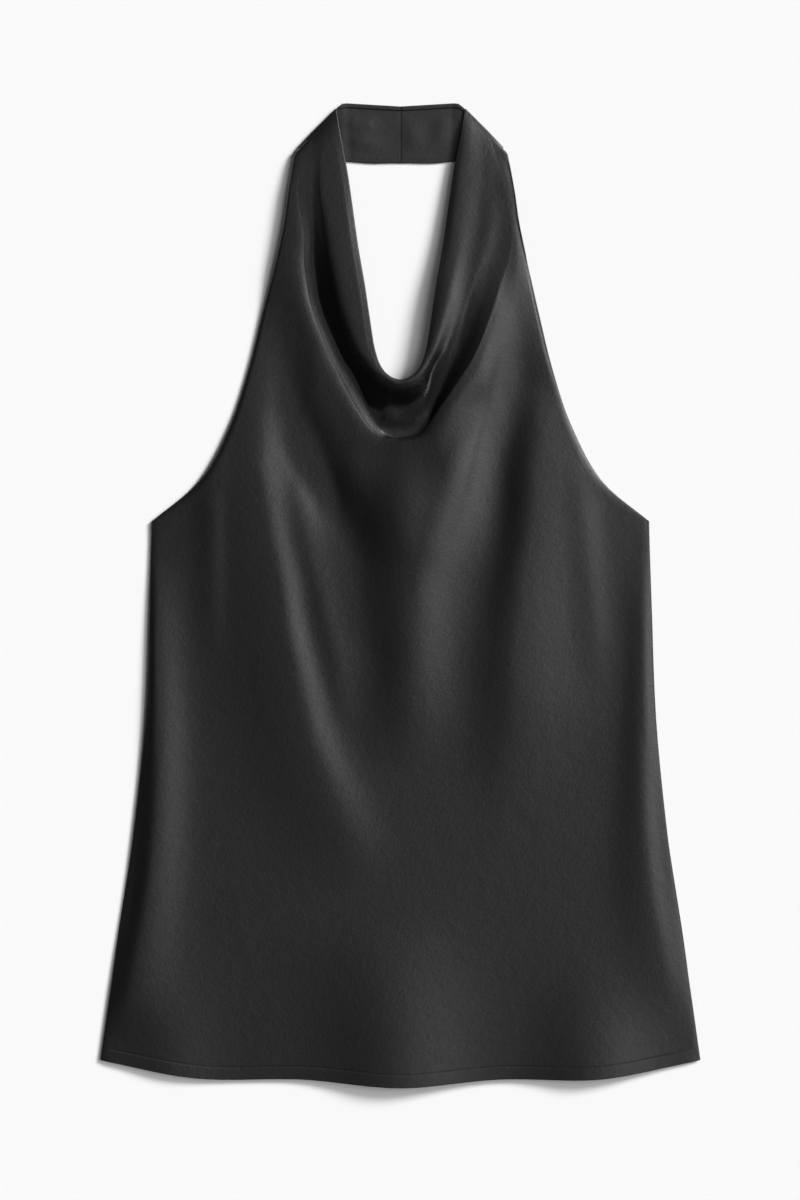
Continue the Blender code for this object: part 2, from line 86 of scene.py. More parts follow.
# The second cowl fold's lip: radius where it overhangs, and how far past it the body's height takes over,
# at most this share of the way to the outer edge
LIP_ROUND = 1.5
LIP_EASE = 8.0
LIP_EASE_SHARE = 0.25
# Tucks between which the lip goes from open to overhanging, and the greatest width of the neck's rim
HOOK_TUCKS = (-3.0, 4.0)
RIM_WIDTH = 7.0

# Hem turning: its width, the step where it ends, about as high as the cloth is thick, and half the width
# over which that step rises; the depth and width of the groove along its stitches; and over how many
# sections the turning sets in at either end of the hem
HEM_TURNING = 10.5
TURNING_STEP, TURNING_EASE = 0.35, 0.8
GROOVE, GROOVE_WIDTH = 0.3, 0.45
HEM_START = 0.12

# Lie of the body: height it never goes under and how softly it stays off it, a low crown across it that
# dies out below the waist, the width over which it falls, and how far up from the hem its flutes reach
LEAST_HEIGHT, FLOOR_SOFTNESS = 2.3, 1.0
CROWN_LOW, CROWN_HIGH = 1.0, 3.6
CROWN_WIDTH = 112.0
CROWN_FOOT_Y, CROWN_RISE = -150.0, 150.0
FLUTE_REACH = 88.0
# Width over which the front rounds down to its outer edge, at three section numbers
ROLL_ROWS = (0, 7, 11)
ROLL_WIDTHS = (2.6, 3.2, 7.0)

# Steps of the front's grid: columns along each stretch of a half, rows in the cowl and in the body, whose
# rows lie closer near the lip, and rows near the outer edge by their distance from it, first through the
# turning's stitched groove and then over the rounded edge
STRAP_COLUMNS, SIDE_COLUMNS, HEM_COLUMNS = 54, 26, 38
COWL_STEPS, BODY_STEPS = 58, 74
BODY_CROWDING = 1.12
EDGE_ROWS = (
    13.5, 12.0, 11.2, 10.8, HEM_TURNING, 10.2, 9.8, 9.0, 7.6, 6.2, 4.8, 3.6, 2.5, 1.6, 0.9, 0.4, 0.1, 0.0,
)
# The largest share of the way from the lip to the edge that those rows may take, and the points along the
# edge from which that distance is measured
EDGE_SHARE = 0.45
EDGE_POINTS = 90

# Right half of the front, section by section, from the shoulder fold down to centre front. Each section
# runs from the neck edge over the lip of the second cowl fold to the outer edge, and bends towards centre
# front on its way from the lip to the edge, so that it meets the edge squarely.
Section = namedtuple("Section", "neck_x neck_y lip_x lip_y edge_x edge_y bend")
SECTIONS = (
    Section(53.2, 400.2, 72.0, 381.5, 84.0, 368.6, 0),
    Section(51.0, 385.5, 76.5, 370.0, 88.2, 362.5, 0),
    Section(47.6, 367.5, 81.5, 353.5, 90.9, 348.0, 0),
    Section(43.8, 347.0, 86.0, 336.0, 93.9, 331.0, 0),
    Section(40.4, 324.0, 89.6, 314.0, 97.0, 308.5, 0),
    Section(37.6, 304.0, 91.6, 297.0, 101.3, 287.0, 0),
    Section(35.0, 286.0, 90.0, 281.0, 107.6, 260.0, 1),
    Section(32.3, 270.0, 85.5, 266.0, 115.3, 227.0, 3),
    Section(29.5, 254.0, 79.5, 252.0, 125.5, 185.5, 7),
    Section(27.0, 237.0, 72.5, 237.0, 140.5, 140.5, 13),
    Section(24.5, 220.0, 64.0, 217.5, 165.5, 94.5, 20),
    Section(22.3, 206.0, 55.0, 198.0, UNDERARM_HALF, UNDERARM_Y, 26),
    Section(20.6, 199.0, 47.3, 184.0, 207.4, -10.0, 30),
    Section(18.2, 191.5, 40.3, 171.0, 211.5, -110.0, 32),
    Section(15.4, 186.3, 34.2, 159.0, 223.2, -221.0, 32),
    Section(12.6, 182.6, 28.6, 148.2, 236.8, -309.0, 28),
    Section(9.8, 180.2, 22.6, 138.6, HEM_HALF, -384.4, 20),
    Section(6.6, 178.2, 15.4, 132.4, 166.0, -399.2, 10),
    Section(3.3, 177.0, 7.8, 130.0, 82.0, -400.0, 4),
    Section(0.0, 176.5, 0.0, 129.4, 0.0, -LENGTH_HALF, 0),
)
UNDERARM_ROW, HEM_ROW, CENTRE_ROW = 11, 16, 19
LAST_ROW = 2 * CENTRE_ROW

# Heights of the cloth at some of those sections. The brow is the share of the way to the lip where the
# first fold drops, over the given width, to a shelf that slopes into the valley. From the valley the cloth
# climbs to the second fold's lip, whose last bit, the roll, lies past its edge. A tuck is how far the
# valley runs in under that edge; below zero it stays short of it. Out is how far the lip lies outside its
# section's point, fall the width of the second fold's outer flank, and edge the height at the outer edge.
Rise = namedtuple("Rise", "row rim crest brow drop shelf valley lip roll tuck out fall edge")
RIGHT_RISES = (
    Rise(0, FOLD_TOP, FOLD_TOP, 0.30, 10, FOLD_TOP, FOLD_TOP, FOLD_TOP, 0.0, -5, 0.0, 60, FOLD_TOP),
    Rise(1, 5.4, 5.7, 0.28, 10, 4.7, 4.4, 4.1, 0.0, -5, 0.0, 18, 3.9),
    Rise(3, 7.0, 7.9, 0.22, 14, 6.8, 6.6, 6.7, 0.0, -8, 0.0, 16, 6.6),
    Rise(5, 8.8, 10.0, 0.21, 16, 8.3, 8.1, 8.6, 0.0, -12, 0.0, 18, 7.8),
    Rise(7, 11.4, 12.0, 0.22, 14, 10.0, 9.4, 10.4, 0.0, -17, 0.0, 34, 3.6),
    Rise(9, 13.2, 14.0, 0.22, 11, 11.4, 10.8, 14.0, 0.0, -20, 4.0, 36, 3.0),
    Rise(11, 13.9, 14.6, 0.19, 7, 10.4, 10.4, 16.8, 0.0, -14, 5.5, 25, ON_BACK),
    Rise(13, 14.6, 15.1, 0.15, 6, 8.8, 9.0, 16.8, 0.2, -9, 3.4, 22, ON_BACK),
    Rise(15, 15.0, 15.4, 0.12, 15, 7.0, 7.4, 15.0, 0.6, -5, 0.0, 23, ON_BACK),
    Rise(17, 15.1, 15.5, 0.10, 18, 6.2, 5.6, 12.8, 1.3, 3, -0.5, 26, ON_BACK),
    Rise(19, 15.1, 15.5, 0.10, 18, 6.0, 5.0, 11.2, 1.5, 3, 0.0, 28, ON_BACK),
)
LEFT_RISES = (
    Rise(0, FOLD_TOP, FOLD_TOP, 0.44, 5, FOLD_TOP, FOLD_TOP, FOLD_TOP, 0.0, -5, 0.0, 60, FOLD_TOP),
    Rise(1, 5.9, 6.2, 0.48, 6, 6.0, 5.9, 6.0, 0.0, -5, 0.0, 34, 3.2),
    Rise(3, 8.8, 9.5, 0.52, 7, 8.4, 8.3, 8.4, 0.1, -5, -2.0, 40, 2.4),
    Rise(5, 11.0, 12.2, 0.50, 12, 8.6, 8.4, 9.1, 0.4, -5, -12.0, 38, 2.2),
    Rise(7, 12.6, 13.6, 0.45, 16, 7.4, 7.3, 8.2, 0.7, -4, -6.5, 26, 2.0),
    Rise(9, 13.6, 14.3, 0.43, 17, 6.0, 5.9, 7.0, 0.7, -4, 1.0, 22, 1.9),
    Rise(11, 14.2, 14.7, 0.37, 13, 5.4, 5.3, 6.8, 0.7, -5, 4.0, 24, ON_BACK),
    Rise(13, 14.7, 15.2, 0.24, 14, 5.6, 5.4, 7.2, 0.7, -8, 5.5, 30, ON_BACK),
    Rise(15, 15.0, 15.4, 0.14, 23, 5.6, 5.4, 7.9, 0.6, -9, 5.0, 34, ON_BACK),
    Rise(16, 15.1, 15.5, 0.11, 23, 5.8, 5.6, 8.3, 0.5, -9, 4.0, 34, ON_BACK),
    Rise(16.8, 15.1, 15.5, 0.10, 22, 6.2, 5.8, 8.9, 0.7, -7, 3.0, 34, ON_BACK),
    Rise(17.8, 15.1, 15.5, 0.10, 18, 6.4, 5.4, 9.9, 1.1, -3, 1.5, 32, ON_BACK),
)

# Folds: each a crest that runs down the cloth, with its height and its half width to the left and right.
# Troughs have heights below zero.
Crest = namedtuple("Crest", "x y height left right")
# Steps from one crest to the next on a fold's path
CREST_STEPS = 4
BODY_FOLDS = {
    "cowl_to_centre": (
        Crest(52, 176, 0.0, 30, 25), Crest(46, 144, 4.8, 40, 25), Crest(39, 112, 8.2, 47, 25),
        Crest(30, 80, 8.8, 46, 26), Crest(18, 45, 8.2, 44, 28), Crest(12, 12, 6.4, 38, 26),
        Crest(10, -21, 5.4, 34, 26), Crest(9, -54, 4.8, 27, 27), Crest(8, -87, 3.6, 26, 28),
        Crest(8, -120, 1.6, 26, 28), Crest(8, -160, 0.0, 26, 28),
    ),
    "cowl_line": (
        Crest(98, 276, 0.0, 9, 5), Crest(89, 240, 1.1, 10, 5), Crest(79, 204, 1.5, 12, 5),
        Crest(72, 180, 1.7, 14, 5), Crest(67, 158, 1.8, 15, 6), Crest(62, 136, 1.9, 16, 6),
        Crest(55, 111, 1.9, 16, 7), Crest(47, 78, 1.5, 15, 8), Crest(32, 45, 1.0, 14, 8),
        Crest(22, 12, 0.0, 12, 8),
    ),
    "cowl_tail": (
        Crest(-14, 132, 4.5, 34, 26), Crest(-8, 90, 4.5, 30, 26), Crest(-3, 50, 2.0, 22, 20),
        Crest(0, 15, 0.0, 20, 20),
    ),
    "left_trough": (
        Crest(-104, 243, 0.0, 12, 12), Crest(-95, 177, -2.0, 15, 15), Crest(-88, 148, -3.0, 17, 17),
        Crest(-79, 124, -4.6, 18, 18), Crest(-62, 86, -4.6, 18, 18), Crest(-40, 45, -2.0, 16, 18),
        Crest(-32, 12, -1.2, 15, 18), Crest(-22, -54, -0.6, 14, 18), Crest(-17, -87, 0.0, 14, 18),
    ),
    "left_armhole_to_centre": (
        Crest(-122, 185, 0.0, 30, 12), Crest(-119, 128, 2.6, 44, 15), Crest(-118, 103, 4.2, 50, 17),
        Crest(-113, 74, 5.2, 52, 18), Crest(-108, 45, 5.2, 52, 17), Crest(-100, 12, 5.4, 52, 16),
        Crest(-96, -21, 5.5, 52, 16), Crest(-89, -54, 5.6, 52, 16), Crest(-81, -87, 5.4, 50, 16),
        Crest(-73, -120, 5.0, 48, 17), Crest(-61, -153, 4.2, 46, 19), Crest(-48, -186, 3.2, 44, 22),
        Crest(-36, -219, 1.4, 44, 24), Crest(-24, -253, 0.0, 44, 24),
    ),
    "left_terrace": (
        Crest(-88, 110, 0.0, 11, 11), Crest(-83, 78, 1.2, 11, 12), Crest(-78, 45, 1.5, 11, 12),
        Crest(-69, 12, 1.6, 11, 12), Crest(-62, -21, 1.6, 11, 12), Crest(-54, -54, 1.4, 11, 13),
        Crest(-48, -87, 0.9, 11, 13), Crest(-40, -130, 0.0, 11, 13),
    ),
    "right_trough": (
        Crest(103, 243, 0.0, 12, 12), Crest(96, 161, -1.0, 14, 12), Crest(85, 111, -1.6, 16, 12),
        Crest(82, 78, -1.8, 18, 12), Crest(80, 45, -1.2, 18, 12), Crest(72, 0, -0.6, 16, 14),
        Crest(63, -54, 0.0, 14, 14),
    ),
    "right_armhole_to_centre": (
        Crest(122, 190, 0.0, 14, 22), Crest(115, 136, 3.2, 16, 34), Crest(111, 111, 4.4, 18, 40),
        Crest(110, 78, 5.4, 20, 44), Crest(107, 45, 6.2, 23, 46), Crest(101, 12, 6.4, 25, 46),
        Crest(98, -21, 6.2, 26, 46), Crest(95, -54, 5.8, 27, 46), Crest(95, -87, 5.0, 28, 46),
        Crest(92, -120, 3.4, 28, 44), Crest(92, -153, 1.8, 28, 42), Crest(92, -190, 0.8, 28, 40),
        Crest(88, -240, 0.0, 28, 40),
    ),
    "right_upper": (
        Crest(104, 268, 0.0, 16, 12), Crest(107, 240, 2.4, 18, 14), Crest(115, 212, 3.0, 20, 16),
        Crest(125, 186, 2.2, 20, 16), Crest(134, 160, 0.0, 20, 16),
    ),
    "left_side": (
        Crest(-205, 40, 0.0, 10, 14), Crest(-203, -5, 2.2, 10, 18), Crest(-202, -60, 3.8, 10, 20),
        Crest(-201, -120, 5.0, 10, 21), Crest(-203, -190, 5.2, 10, 22), Crest(-211, -260, 5.0, 10, 26),
        Crest(-222, -320, 4.2, 12, 30), Crest(-234, -384, 2.4, 14, 34),
    ),
    "right_side": (
        Crest(200, 50, 0.0, 10, 8), Crest(200, -5, 1.4, 11, 8), Crest(200, -54, 2.4, 12, 9),
        Crest(200, -120, 3.4, 15, 10), Crest(200, -170, 3.6, 18, 10), Crest(205, -240, 3.4, 26, 12),
        Crest(216, -300, 2.8, 30, 14), Crest(232, -380, 0.8, 32, 14),
    ),
    "left_drag": (
        Crest(-158, 140, 0.0, 12, 8), Crest(-155, 105, 0.9, 12, 8), Crest(-155, 45, 1.1, 13, 8),
        Crest(-155, -10, 0.9, 13, 8), Crest(-155, -64, 0.0, 12, 8),
    ),
    "right_drag": (
        Crest(142, 128, 0.0, 12, 12), Crest(148, 95, 0.8, 12, 11), Crest(153, 50, 1.1, 13, 11),
        Crest(158, -5, 1.1, 13, 11), Crest(160, -40, 0.8, 12, 11), Crest(158, -80, 0.0, 12, 12),
    ),
    "waist_dent": (
        Crest(82, -190, 0.0, 6, 6), Crest(103, -193, -0.5, 6, 6), Crest(120, -195, 0.0, 6, 6),
    ),
    "low_swell": (
        Crest(-30, -262, 0.0, 40, 50), Crest(-24, -300, 1.6, 44, 56), Crest(-12, -340, 1.6, 46, 56),
        Crest(-4, -400, 0.0, 46, 56),
    ),
}
STRAP_FOLDS = {
    "right_neck_roll": (
        Crest(60, 380, 0.0, 8, 8), Crest(57, 340, 0.3, 9, 8), Crest(53, 312, 0.4, 10, 8),
        Crest(47, 277, 0.6, 10, 7), Crest(42, 252, 1.1, 9, 6), Crest(36, 227, 1.1, 8, 6),
        Crest(28, 204, 0.8, 6, 5), Crest(19, 189, 0.0, 5, 5),
    ),
    "pocket_fold": (
        Crest(-20, 149, 0.0, 5, 4), Crest(-8, 146, 1.2, 5, 4), Crest(6, 145, 1.6, 5, 4),
        Crest(16, 149, 1.0, 4, 4), Crest(24, 156, 0.0, 4, 4),
    ),
    "right_strap_line": (
        Crest(80, 350, 0.0, 9, 9), Crest(73, 305, 0.7, 9, 9), Crest(67, 277, 0.8, 9, 8),
        Crest(61, 252, 0.6, 8, 7), Crest(54, 226, 0.0, 7, 6),
    ),
}

Flute = namedtuple("Flute", "x lift half_width")
HEM_FLUTES = (Flute(-190, 3.4, 34), Flute(-3, 7.6, 50), Flute(161, 7.4, 44))

# Neck band: its edges at centre back, the ends of its seam with the strap, and the bow of its lower edge
BAND_TOP_Y, BAND_FOOT_Y = 402.8, 356.7
BAND_SEAM_TOP = (47.5, 405.6)
BAND_SEAM_FOOT = (50.0, 358.4)
BAND_BOW = 1.0
# Each half ends in under its strap, where its top corner falls away and it lifts over the strap's own end,
# from a little before the seam to just past it
BAND_END = 56.0
BAND_CORNER, BAND_CORNER_FALL, BAND_CORNER_POWER = 43.5, 9.5, 2.2
BAND_LIFT, BAND_LIFT_BEFORE, BAND_LIFT_AFTER = 0.5, 6.0, 2.0
# At the centre-back seam each half's edge dips, the right one more
SEAM_DIPS = {RIGHT: 0.3, LEFT: 0.05}
SEAM_WIDTH = 0.7
# Steps of its grid: columns, of which the first closes the seam, rows, and the row of its stitches
BAND_COLUMNS, BAND_FIRST_STEP = 84, 0.001
BAND_STEPS, BAND_STITCH_ROW = 44, 3
BAND_CREASES = {
    "left_upper": (Crest(-52, 392, 0.5, 7, 6), Crest(-32, 388, 0.9, 7, 6), Crest(-12, 392, 0.0, 7, 6)),
    "left_lower": (Crest(-48, 371, 0.3, 7, 6), Crest(-30, 374, 0.9, 7, 6), Crest(-6, 369, 0.0, 7, 6)),
    "right_upright": (Crest(8, 398, 0.0, 8, 9), Crest(10, 380, 0.8, 8, 10), Crest(14, 362, 0.4, 8, 10)),
    "right_slant": (Crest(46, 398, 0.0, 8, 7), Crest(34, 384, 0.7, 8, 7), Crest(27, 364, 0.0, 8, 7)),
}

# Back panel: height of its cloth, how far it stays inside the front's edges, the dip of its top edge, and
# the points of its grid. Its creases are as low as the space under the front allows.
BACK_HEIGHT = 0.35
BACK_INSET = 1.5
BACK_TOP_DIP = 10.0
BACK_COLUMNS, BACK_ROWS, BACK_SIDE_POINTS = 201, 150, 60
BACK_CREASES = {
    "right_underarm": (
        Crest(196, 48, 0.0, 9, 7), Crest(158, 6, 0.5, 10, 7), Crest(120, -58, 0.6, 11, 8),
        Crest(96, -130, 0.4, 11, 9), Crest(84, -190, 0.0, 11, 9),
    ),
    "left_underarm": (
        Crest(-190, 50, 0.0, 7, 10), Crest(-142, 2, 0.6, 8, 11), Crest(-101, -49, 0.5, 8, 12),
        Crest(-70, -96, 0.0, 9, 12),
    ),
    "left_slant": (
        Crest(-170, -20, 0.0, 8, 9), Crest(-131, -92, 0.5, 8, 10), Crest(-96, -171, 0.6, 9, 11),
        Crest(-80, -236, 0.0, 10, 11),
    ),
    "right_side": (
        Crest(196, -70, 0.0, 9, 8), Crest(190, -142, 0.5, 10, 8), Crest(197, -226, 0.6, 11, 9),
        Crest(208, -290, 0.0, 11, 9),
    ),
    "right_flute": (
        Crest(118, -262, 0.0, 12, 10), Crest(136, -341, 0.6, 14, 11), Crest(150, -420, 0.6, 15, 12),
        Crest(160, -480, 0.0, 15, 12),
    ),
    "centre_flute": (
        Crest(22, -304, 0.0, 11, 13), Crest(9, -362, 0.5, 12, 15), Crest(3, -420, 0.5, 12, 16),
        Crest(0, -480, 0.0, 12, 16),
    ),
    "left_flute": (
        Crest(-151, -288, 0.0, 10, 12), Crest(-176, -350, 0.6, 11, 13), Crest(-192, -420, 0.5, 11, 14),
        Crest(-205, -480, 0.0, 11, 14),
    ),
}

# One stitch, the gap to the next, the thread's thickness, and how high it lies over its groove. A stitch
# has as many rings as each ring has points, is a little flat, and never closes quite to a point.
STITCH, STITCH_GAP, THREAD, STITCH_RISE = 1.8, 0.6, 0.34, 0.3
STITCH_RINGS = 6
STITCH_FLATNESS = 0.7
STITCH_TIP = 0.05
# Sections at each end of the hem that its stitches leave out
HEM_STITCH_START = 0.15

# Satin: noises of its relief, with their scale across the floats, how much they are packed along them,
# octaves and share of the height; the depth of the relief, in metres; and the direction of the bias
Noise = namedtuple("Noise", "scale stretch detail weight")
SATIN_NOISES = (Noise(1000, 0.4, 2, 1.1), Noise(380, 0.7, 2, 1.2), Noise(110, 0.8, 2, 2.1))
GRAIN_DEPTH = 0.0001
BIAS_ANGLE = 45.0
# Slow cloudiness, and how much it changes the colour and the roughness either way
CLOUD_SCALE, CLOUD_DETAIL = 14, 3.0
CLOUD_TINT, CLOUD_ROUGHNESS = 0.2, 0.03
# Deep in the cowl, shade is painted into the satin: its colour is this share of itself, and it is this
# much less rough
COWL_PAINTED_SHADE, COWL_SMOOTHER = 0.4, 0.22
# The cowl's painted shade starts and is full where its valley lies this far under its crest, and at these
# distances past the first fold's brow and short of the second fold's lip, measured at so many sections
SHADE_DEPTHS = (1.5, 7.5)
SHADE_FROM_BROW = (0.0, 6.0)
SHADE_FROM_LIP = (3.0, 12.0)
SHADE_SECTIONS = 115

# Soft studio light from the upper right: elevation, direction from +X towards +Y and spread in degrees
Lamp = namedtuple("Lamp", "name elevation azimuth spread strength")
STUDIO_LIGHTS = (
    Lamp("key", 28, 36, 18, 4.0),
    Lamp("fill", 50, 5, 50, 1.3),
    Lamp("top", 65, 20, 90, 0.38),
)
WORLD_COLOUR, WORLD_STRENGTH = (0.92, 0.94, 1.0, 1), 0.04
# Pale floor, just under the cloth, in metres
FLOOR_HALF, FLOOR_DROP = 40.0, 0.0002
FLOOR_COLOUR, FLOOR_ROUGHNESS = (0.895, 0.895, 0.90, 1), 0.9

# The camera looks straight down on a field this long at the top's real size, in metres
FIELD_LONG = 991.9 * MM
CAMERA_HEIGHT = 3.0
CAMERA_AT = (-0.0004, -0.0045)


class TopSettings(PropertyGroup):
    """Sizes, colours and finish that a user would change."""

    cloth_thickness: FloatProperty(
        name="Cloth", description="Thickness of the satin", unit="LENGTH", precision=5,
        default=0.0004, min=0.0001, max=0.001,
    )
    satin_colour: FloatVectorProperty(
        name="Satin", description="Colour of the satin's face", subtype="COLOR", size=4,
        default=(0.0032, 0.0031, 0.0035, 1.0), min=0.0, max=1.0,
    )
    inside_colour: FloatVectorProperty(
        name="Inside", description="Colour of the satin's duller inner side", subtype="COLOR", size=4,
        default=(0.0060, 0.0058, 0.0064, 1.0), min=0.0, max=1.0,
    )
    face_roughness: FloatProperty(
        name="Face roughness", description="Blur of the satin's highlights", subtype="FACTOR",
        default=0.44, min=0.0, max=1.0,
    )
    inside_roughness: FloatProperty(
        name="Inside roughness", description="Blur of the inner side's highlights", subtype="FACTOR",
        default=0.55, min=0.0, max=1.0,
    )
    grain_relief: FloatProperty(
        name="Grain", description="Strength of the satin's fine relief", subtype="FACTOR",
        default=1.0, min=0.0, max=2.0,
    )


def smoothstep(x):
    """0 below 0, 1 above 1, and an easy S between."""
    x = np.clip(x, 0.0, 1.0)
    return x * x * (3.0 - 2.0 * x)


def ramp(x, start, end):
    """0 up to the start, 1 from the end on, and an easy S between."""
    return smoothstep((x - start) / (end - start))


def bell(x, width):
    """Bell curve: 1 at zero, falling off as the square of x over its width in an exponential."""
    return np.exp(-((x / width) ** 2))


def through(rows, at, corners=()):
    """Catmull-Rom curve through a table's rows at row numbers `at`, not rounded at the corner rows."""
    rows = np.asarray(rows, float)
    at = np.asarray(at, float)
    last = len(rows) - 1
    low = np.clip(np.floor(at).astype(int), 0, last - 1)
    part = (at - low).reshape(-1, *[1] * (rows.ndim - 1))
    here, there = rows[low], rows[low + 1]
    ends = np.isin(np.arange(last + 1), (0, last, *corners)).reshape(-1, *[1] * (rows.ndim - 1))
    before = np.where(ends[low], 2 * here - there, rows[np.maximum(low - 1, 0)])
    after = np.where(ends[low + 1], 2 * there - here, rows[np.minimum(low + 2, last)])
    return hermite(part, here, there, (there - before) / 2, (after - here) / 2)


def eased(at, rows, values):
    """Cubic curve through values given at uneven row numbers, with a slope at each row taken from the rows
    beside it."""
    slopes = np.gradient(values, rows, axis=0)
    low = np.clip(np.searchsorted(rows, at, "right") - 1, 0, len(rows) - 2)
    step = (rows[low + 1] - rows[low])[:, None]
    part = (np.asarray(at) - rows[low])[:, None] / step
    return hermite(part, values[low], values[low + 1], slopes[low] * step, slopes[low + 1] * step)


def hermite(part, here, there, slope_here, slope_there):
    """Cubic from one value to the next at `part` of the way, with the given slopes at its two ends."""
    return (
        here * (1 + 2 * part) * (1 - part) ** 2
        + slope_here * part * (1 - part) ** 2
        + there * (3 - 2 * part) * part**2
        + slope_there * (part - 1) * part**2
    )


def way(start, end):
    """Distance from each start point to its end point, and the unit vector between them."""
    length = np.linalg.norm(end - start, axis=1)
    return length, (end - start) / length[:, None]


def nearest_on(x, y, path):
    """Nearest point of a polyline to each x, y: the distance, the place along it in segments, and the side,
    above zero to the right of the way it runs when that is down the cloth."""
    start, run = path[:-1], np.diff(path, axis=0)
    gap_x, gap_y = x[..., None] - start[:, 0], y[..., None] - start[:, 1]
    share = np.clip((gap_x * run[:, 0] + gap_y * run[:, 1]) / (run**2).sum(axis=1), 0, 1)
    gap_x, gap_y = gap_x - share * run[:, 0], gap_y - share * run[:, 1]
    distance = np.hypot(gap_x, gap_y)
    side = run[:, 0] * gap_y - run[:, 1] * gap_x
    pick = distance.argmin(axis=-1)[..., None]
    found = (np.take_along_axis(each, pick, axis=-1)[..., 0] for each in (distance, share, side))
    distance, share, side = found
    return distance, pick[..., 0] + share, side


def fold(x, y, crests):
    """Height of one fold: a bell curve of the distance to its crest's path, with its own width on each
    side. It fades in and out over the first and last stretch of the path."""
    fine = through(crests, np.linspace(0, len(crests) - 1, CREST_STEPS * len(crests)))
    distance, place, side = nearest_on(x, y, fine[:, :2])
    at = np.arange(len(fine))
    height, left, right = (np.interp(place, at, fine[:, k]) for k in (2, 3, 4))
    height *= smoothstep(place / CREST_STEPS) * smoothstep((at[-1] - place) / CREST_STEPS)
    return height * bell(distance, np.where(side > 0, right, left))


def drape(x, y, folds):
    """Height that a table of folds adds: their sum."""
    return sum(fold(x, y, np.array(crests, float)) for crests in folds.values())


def hem_flutes(x):
    """Lift of the front hem: a sum of bell curves across the body."""
    return sum(flute.lift * bell(x - flute.x, flute.half_width) for flute in HEM_FLUTES)


def body_height(x, y):
    """Height of the body: a low crown across it, its folds and the hem's flutes, eased off just above the
    least height by a hyperbola so that troughs have soft floors."""
    crown = CROWN_LOW + (CROWN_HIGH - CROWN_LOW) * smoothstep((y - CROWN_FOOT_Y) / CROWN_RISE)
    over = crown * bell(x, CROWN_WIDTH) + drape(x, y, BODY_FOLDS)
    over += hem_flutes(x) * bell(y + LENGTH_HALF, FLUTE_REACH)
    return LEAST_HEIGHT + (over + np.sqrt(over**2 + FLOOR_SOFTNESS**2)) / 2


def column_rows():
    """Section numbers of the grid's columns across the whole front, even along each stretch of a half."""
    half = np.concatenate(
        [
            np.linspace(0, UNDERARM_ROW, STRAP_COLUMNS, endpoint=False),
            np.linspace(UNDERARM_ROW, HEM_ROW, SIDE_COLUMNS, endpoint=False),
            np.linspace(HEM_ROW, CENTRE_ROW, HEM_COLUMNS, endpoint=False),
        ]
    )
    return np.concatenate([half, [CENTRE_ROW], LAST_ROW - half[::-1]])


def half_row(at):
    """Section numbers counted from the nearer shoulder fold, so that both halves have the right one's."""
    return np.minimum(at, LAST_ROW - at)


def rises_at(at):
    """The rises' values at section numbers `at`: right side, centre and on to the left shoulder."""
    right, left = np.array(RIGHT_RISES, float), np.array(LEFT_RISES, float)[::-1]
    left[:, 0] = LAST_ROW - left[:, 0]
    table = np.vstack([right, left])
    return Rise(at, *eased(at, table[:, 0], table[:, 1:]).T)


def whole_sections(at):
    """Neck, lip and edge points and the bend at section numbers `at`. The left half mirrors the right one,
    but for how far the lip lies out."""
    right = np.array(SECTIONS)
    left = right[-2::-1] * (-1, 1, -1, 1, -1, 1, -1)
    corners = (UNDERARM_ROW, HEM_ROW, LAST_ROW - HEM_ROW, LAST_ROW - UNDERARM_ROW)
    both = np.vstack([right, left])
    neck, lip = np.split(through(both[:, :4], at), 2, axis=1)
    edge = through(both[:, 4:6], at, corners)
    bend = through(both[:, 6], at)
    outward = way(neck, lip)[1]
    return neck, lip + outward * rises_at(at).out[:, None], edge, bend


def cowl_profile(reach, ease, rise):
    """Section of the cowl: neck rim, first fold, valley and the second fold's lip, which overhangs the
    valley where it has a tuck.

    Gives distances along the section and heights at fourteen control points for each column. Those between
    the named places lie at fixed shares of the way, which make the folds round.
    """
    deep = reach + rise.tuck
    depth = rise.crest - rise.shelf
    lip = rise.lip - rise.roll
    climb = lip - rise.valley
    hook = ramp(rise.tuck, *HOOK_TUCKS)
    turn = LIP_ROUND * hook
    soft = climb * (1 - hook)
    brow = rise.brow * reach
    foot = brow + rise.drop
    rim_width = np.maximum(np.minimum(RIM_WIDTH, 0.5 * brow), brow - 2.2 * rise.drop)
    points = (
        (0 * reach, rise.rim),
        (0.45 * rim_width, rise.rim + 0.6 * (rise.crest - rise.rim)),
        (rim_width, rise.crest),
        (brow, rise.crest - 0.08 * depth),
        ((brow + foot) / 2, rise.crest - 0.54 * depth),
        (foot, rise.shelf + 0.04 * depth),
        ((foot + deep) / 2, (rise.shelf + rise.valley) / 2),
        (deep, rise.valley + 0.10 * climb * hook),
        (reach + 0.62 * rise.tuck, rise.valley + (0.24 + 0.28 * hook) * climb),
        (reach + 0.25 * (1 - hook) * rise.tuck + 0.3 * turn, lip - 1.9 * turn - 0.30 * soft),
        (reach, lip - 0.9 * turn - 0.04 * soft),
        (reach + 0.6 + 0.7 * turn, lip - 0.1 * turn + 0.12 * rise.roll),
        (reach + 0.5 * ease, lip + 0.72 * rise.roll),
        (reach + ease, rise.lip),
    )
    along, up = zip(*points)
    return np.stack(along, axis=1), np.stack(up, axis=1)


